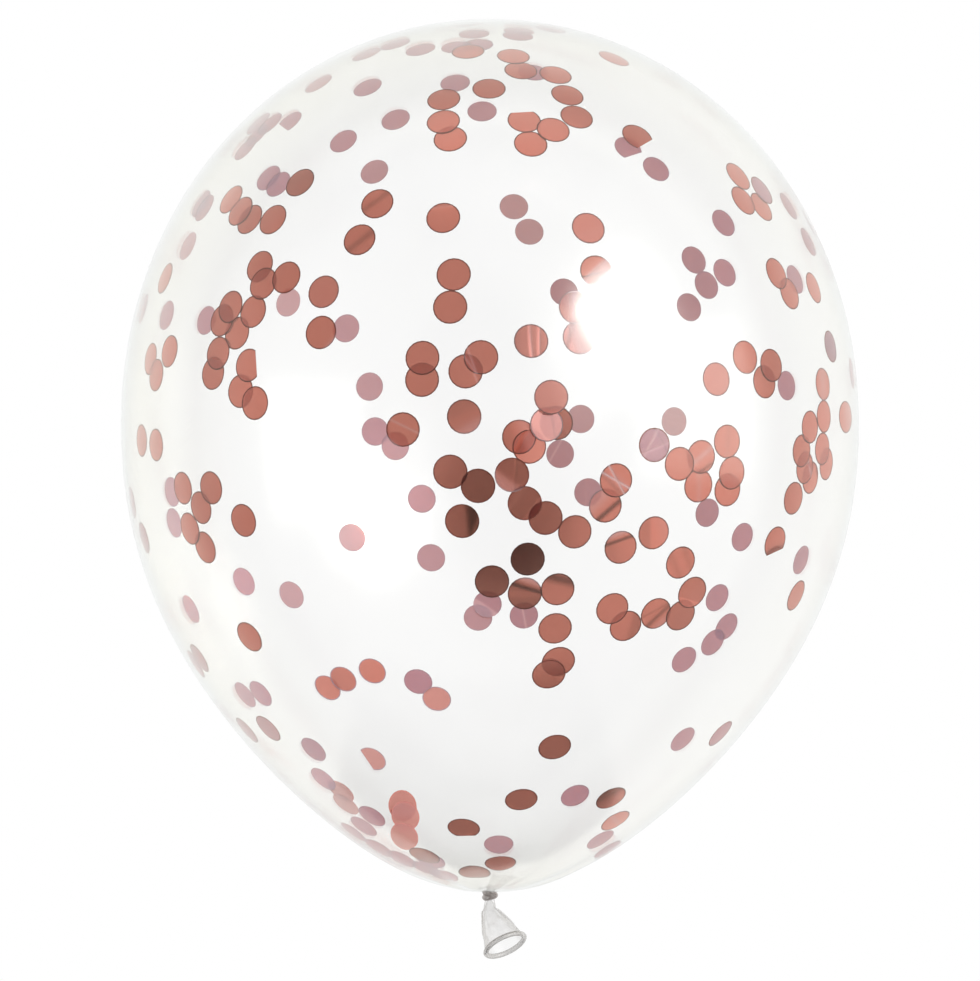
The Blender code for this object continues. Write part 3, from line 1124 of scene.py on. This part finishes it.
    def mouthpiece(self) -> BMesh:
        """The neck and mouthpiece: a ring drawn out, round the rolled rim and back inside."""
        bm = bmesh.new()
        thick = bm.verts.layers.float.new("unstretched")
        circle = bmesh.ops.create_circle(bm, cap_ends=True, segments=self.sides, radius=1.0)["verts"]
        turns = {v: math.atan2(v.co.y, v.co.x) for v in circle}
        edges = list(bm.edges)
        for number, ring in enumerate(self.profile()):
            if number:
                edges, turns = self._draw_out(bm, edges, turns)
            middle, across, through = self.middle_line(ring.along)
            across, through = across * ring.half_width, through * ring.half_thickness
            for vert, turn in turns.items():
                vert[thick] = self.rolled if ring.on_rim else self.gathered * ring.gather
                scale = 1 + self.gather_depth * ring.gather * self.gathers.out(turn)
                aside = across * math.cos(turn) + through * math.sin(turn)
                crumple = noise.noise((middle + aside) / self.crumple_size) * self.crumple_depth
                crumple *= min(ring.gather * self.crumple_gain, 1)
                vert.co = middle + aside * scale + aside.normalized() * crumple
        bmesh.ops.contextual_create(bm, geom=edges)
        bmesh.ops.recalc_face_normals(bm, faces=bm.faces)
        bm.transform(self.bulb.lying_down)
        return bm

    def knot(self) -> BMesh:
        """The knot's two turns, one laid across the other, wrinkled where they are pulled tight."""
        whole = bmesh.new()
        for number, tilt in enumerate(self.turn_tilts):
            bm = bmesh.new()
            strand = bmesh.ops.create_circle(bm, segments=self.strand_sides, radius=self.knot_strand / 2)
            bmesh.ops.rotate(bm, verts=strand["verts"], matrix=Matrix.Rotation(math.pi / 2, 3, "X"))
            bmesh.ops.translate(
                bm, verts=strand["verts"], vec=((self.knot_width - self.knot_strand) / 2, 0, 0)
            )
            spin_round(bm, self.knot_sides)
            for vert in bm.verts:
                place = vert.co * self.wrinkles_per_metre + Vector((number * self.turn_apart, 0, 0))
                vert.co -= vert.co.normalized() * (self.wrinkle_depth * (0.5 + 0.5 * noise.noise(place)))
            bmesh.ops.recalc_face_normals(bm, faces=bm.faces)
            side = 1 if number == 0 else -1
            place = Matrix.Translation(self.knot_centre + Vector((0, 0, side * self.turn_spacing / 2)))
            bm.transform(self.bulb.lying_down @ place @ Matrix.Rotation(tilt, 4, "Y"))
            pour(bm, whole)
        return whole

    def build(self, neck_finish: ClearLatex, knot_finish: ClearLatex) -> list[Object]:
        """Builds the knot and the mouthpiece and dresses them."""
        made = [
            make_piece("knot", self.knot(), [knot_finish.dress()]),
            make_piece("mouthpiece", self.mouthpiece(), [neck_finish.dress()]),
        ]
        for piece in made:
            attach(piece, BODY)
            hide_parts(CAD_NODE)
        return made


@dataclass(frozen=True)
class Zone:
    """A round part of the sky with a brightness of its own."""

    towards: tuple[float, float, float]
    full: float  # degrees from its middle up to which it has that brightness
    end: float  # degrees at which it ends
    light: float


@dataclass(frozen=True)
class Softbox:
    """A rectangular light that faces the balloon."""

    name: str
    place: tuple[float, float, float]
    size: tuple[float, float]
    radiance: float
    film_only: bool = False  # whether it shows in nothing but the wet film's gloss

    def build(self) -> Object:
        """Makes the light."""
        data = bpy.data.lights.new(self.name, "AREA")
        data.shape = "RECTANGLE"
        data.size, data.size_y = self.size
        data.energy = self.radiance * math.pi * self.size[0] * self.size[1]
        light = bpy.data.objects.new(self.name, data)
        light.location = self.place
        towards = Vector((0, 0, Bulb().axis_height)) - Vector(self.place)
        light.rotation_euler = towards.to_track_quat("-Z", "Y").to_euler()
        light.visible_camera = False
        bpy.context.scene.collection.objects.link(light)
        return light


@dataclass
class Studio:
    """A white sweep lit from below, a soft sky that is brighter on the right, and a tall window.

    The sky is dark where the photographer and the camera stand, which is what the foil in the
    middle of the balloon mirrors. Three more lights show in nothing but the wet film.
    """

    floor_width: float = 12.0
    floor_light: float = 1.0
    floor_far_light: float = 0.55  # the table's light dims away from the balloon
    floor_dims: tuple[float, float] = (0.34, 1.1)  # from which distance to which
    sky_light: float = 0.47
    zones: tuple[Zone, ...] = (
        Zone(towards=(0.15, 1.0, 0.10), full=12, end=46, light=0.97),  # the far wall
        Zone(towards=(-1.0, 0.1, 0.0), full=6, end=26, light=0.72),  # the left wall
        Zone(towards=(0.86, 0.22, 0.22), full=15, end=80, light=0.90),  # the window's side
        Zone(towards=(0.06, -0.33, 0.94), full=12, end=25, light=0.0),  # the photographer
    )
    card_corner: tuple[float, float, float] = (-0.25, -0.42, 0.0)
    card_size: tuple[float, float] = (0.45, 0.40)
    card_light: float = 0.12
    softboxes: tuple[Softbox, ...] = (
        Softbox("window", place=(0.94, 0.42, 1.24), size=(0.68, 1.2), radiance=1.0),
        Softbox("glare", place=(0.98, 0.67, 1.25), size=(0.45, 0.60), radiance=60, film_only=True),
        Softbox("glow", place=(1.50, 0.15, 0.90), size=(0.90, 1.2), radiance=2.3, film_only=True),
        Softbox("fill", place=(-1.08, -0.56, 1.22), size=(0.55, 0.6), radiance=1.4, film_only=True),
    )
    films_deep: int = 48  # how many clear surfaces a ray may pass
    bounces: int = 12

    def floor(self) -> None:
        """A wide white floor that glows as a light table does."""
        bm = bmesh.new()
        bmesh.ops.create_grid(bm, x_segments=1, y_segments=1, size=self.floor_width / 2)
        material, wiring = blank_material("white_light_table")
        away = wiring.add("ShaderNodeVectorMath", {0: wiring.place()}, operation="LENGTH").outputs["Value"]
        lights = (self.floor_light, self.floor_far_light)
        wiring.glow(wiring.spread(away, self.floor_dims, lights, smooth=True))
        make_piece("floor", bm, [material])

    def card(self) -> None:
        """A dark card before the tail, seen only by what mirrors it."""
        width, height = self.card_size
        bm = bmesh.new()
        bmesh.ops.create_grid(bm, x_segments=1, y_segments=1, size=0.5)
        bmesh.ops.scale(bm, vec=(width, height, 1), verts=bm.verts)
        bmesh.ops.rotate(bm, verts=bm.verts, matrix=Matrix.Rotation(math.pi / 2, 3, "X"))
        middle = Vector(self.card_corner) + Vector((width / 2, 0, height / 2))
        bmesh.ops.translate(bm, verts=bm.verts, vec=middle)
        material, wiring = blank_material("dark_card")
        wiring.glow(self.card_light)
        card = make_piece("card", bm, [material])
        card.visible_camera = False

    def sky(self) -> None:
        """Soft white light from all round, brighter towards the window and dark at the camera."""
        world = bpy.data.worlds.new("studio")
        world.use_nodes = True
        world.node_tree.nodes.clear()
        wiring = Wiring(world.node_tree)
        towards = wiring.add("ShaderNodeTexCoord").outputs["Generated"]
        light: NodeSocket | float = self.sky_light
        for zone in self.zones:
            aligned = wiring.along(towards, Vector(zone.towards).normalized())
            full, end = (math.cos(math.radians(angle)) for angle in (zone.full, zone.end))
            light = wiring.spread(aligned, (end, full), (light, zone.light), smooth=True)
        sky = wiring.add("ShaderNodeBackground", {"Color": linear("#FFFFFF"), "Strength": light})
        wiring.add("ShaderNodeOutputWorld", {"Surface": sky.outputs[0]})
        bpy.context.scene.world = world

    def build(self, film: Object) -> None:
        """Sets up the whole studio.

        Args:
            film: the piece that mirrors the window as a glare
        """
        self.floor()
        self.card()
        self.sky()
        wet = bpy.data.collections.new("mirrors_the_glare")
        wet.objects.link(film)
        for softbox in self.softboxes:
            light = softbox.build()
            if softbox.film_only:
                light.light_linking.receiver_collection = wet
                light.visible_diffuse = False
        scene = bpy.context.scene
        scene.view_settings.view_transform = "Standard"
        scene.cycles.transparent_max_bounces = self.films_deep
        scene.cycles.max_bounces = self.bounces


# Dipped clear and blown thin: nearly nothing face on, a whitish veil towards the outline.
BLOWN_LATEX = ClearLatex(
    name="natural_latex_blown_clear",
    colour="#FAFAF2",
    edge_colour_and_painted_shade="#F3F6F4",
    face_on=0.062,
    veil=0.5,
    outline=0.42,
    # The veil is thicker towards the crown, where the film is, and towards the left, which is painted light.
    thickness_and_painted_light_slope=(-1.9, 1.7, 0.0),
    thickness=0.74,
)
# Dipped and never stretched: a soft grey skin that its folds and its rolled rim darken.
NECK_LATEX = ClearLatex(
    name="natural_latex_unstretched",
    colour="#DDD9D4",
    edge_colour_and_painted_shade="#A39F9A",
    face_on=0.05,
    veil=0.28,
    outline=0.22,
    veil_range=(0.1, 0.85),
    gloss_share=0.35,
    roughness=0.16,
)
# Many layers of it pulled tight: cloudy grey with a soft sheen.
KNOT_LATEX = ClearLatex(
    name="natural_latex_knotted",
    colour="#D6CCC8",
    edge_colour_and_painted_shade="#B2A8A4",
    face_on=0.58,
    veil=0.3,
    outline=0.05,
    gloss_share=0.1,
    roughness=0.25,
)
# Metallised in a vacuum and lacquered: a satin mirror, tinted rose gold.
COPPER_FACE = Foil(
    name="polyester_foil_rose_gold_lacquered",
    colour="#F08F7B",
    deep_colour="#EA846E",
    let_through="#F7CABB",
    cover=0.5,
    metallic=1.0,
    roughness=0.17,
)
# Its bare back: a duller, cooler mirror, which the light through the film turns mauve.
MAUVE_FACE = Foil(
    name="polyester_foil_bare_back",
    colour="#B9ABC6",
    deep_colour="#AEA0BB",
    let_through="#F5C6B6",
    cover=0.5,
    metallic=0.6,
    roughness=0.34,
)
# Dark copper for the cut edge and the band round each face: a thin, dull line, painted shade on the rim.
FOIL_EDGE_AND_PAINTED_RIM_SHADE = Foil(
    name="polyester_foil_edge_and_painted_rim_shade",
    colour="#82493F",
    deep_colour="#703E36",
    let_through="#F0AE9C",
    cover=0.66,
    metallic=0.5,
    roughness=0.5,
)


def main() -> None:
    """Builds the balloon's pieces in order, and reports each."""
    logging.basicConfig(level=logging.INFO, format="%(name)s: %(message)s")
    eye = Eye()
    eye.build()
    bulb = Bulb()
    film = bulb.build(BLOWN_LATEX)
    Studio().build(film)
    tail = Tail(bulb).build(NECK_LATEX, KNOT_LATEX)
    surface = bulb.shape()
    skin = BVHTree.FromBMesh(surface)
    surface.free()
    finishes = [COPPER_FACE.dress(), MAUVE_FACE.dress(), FOIL_EDGE_AND_PAINTED_RIM_SHADE.dress()]
    for piece in [film, *tail, *Confetti().build(skin, eye, finishes)]:
        LOG.info("%s has %d faces", piece.name, len(piece.data.polygons))


if __name__ == "__main__":
    main()
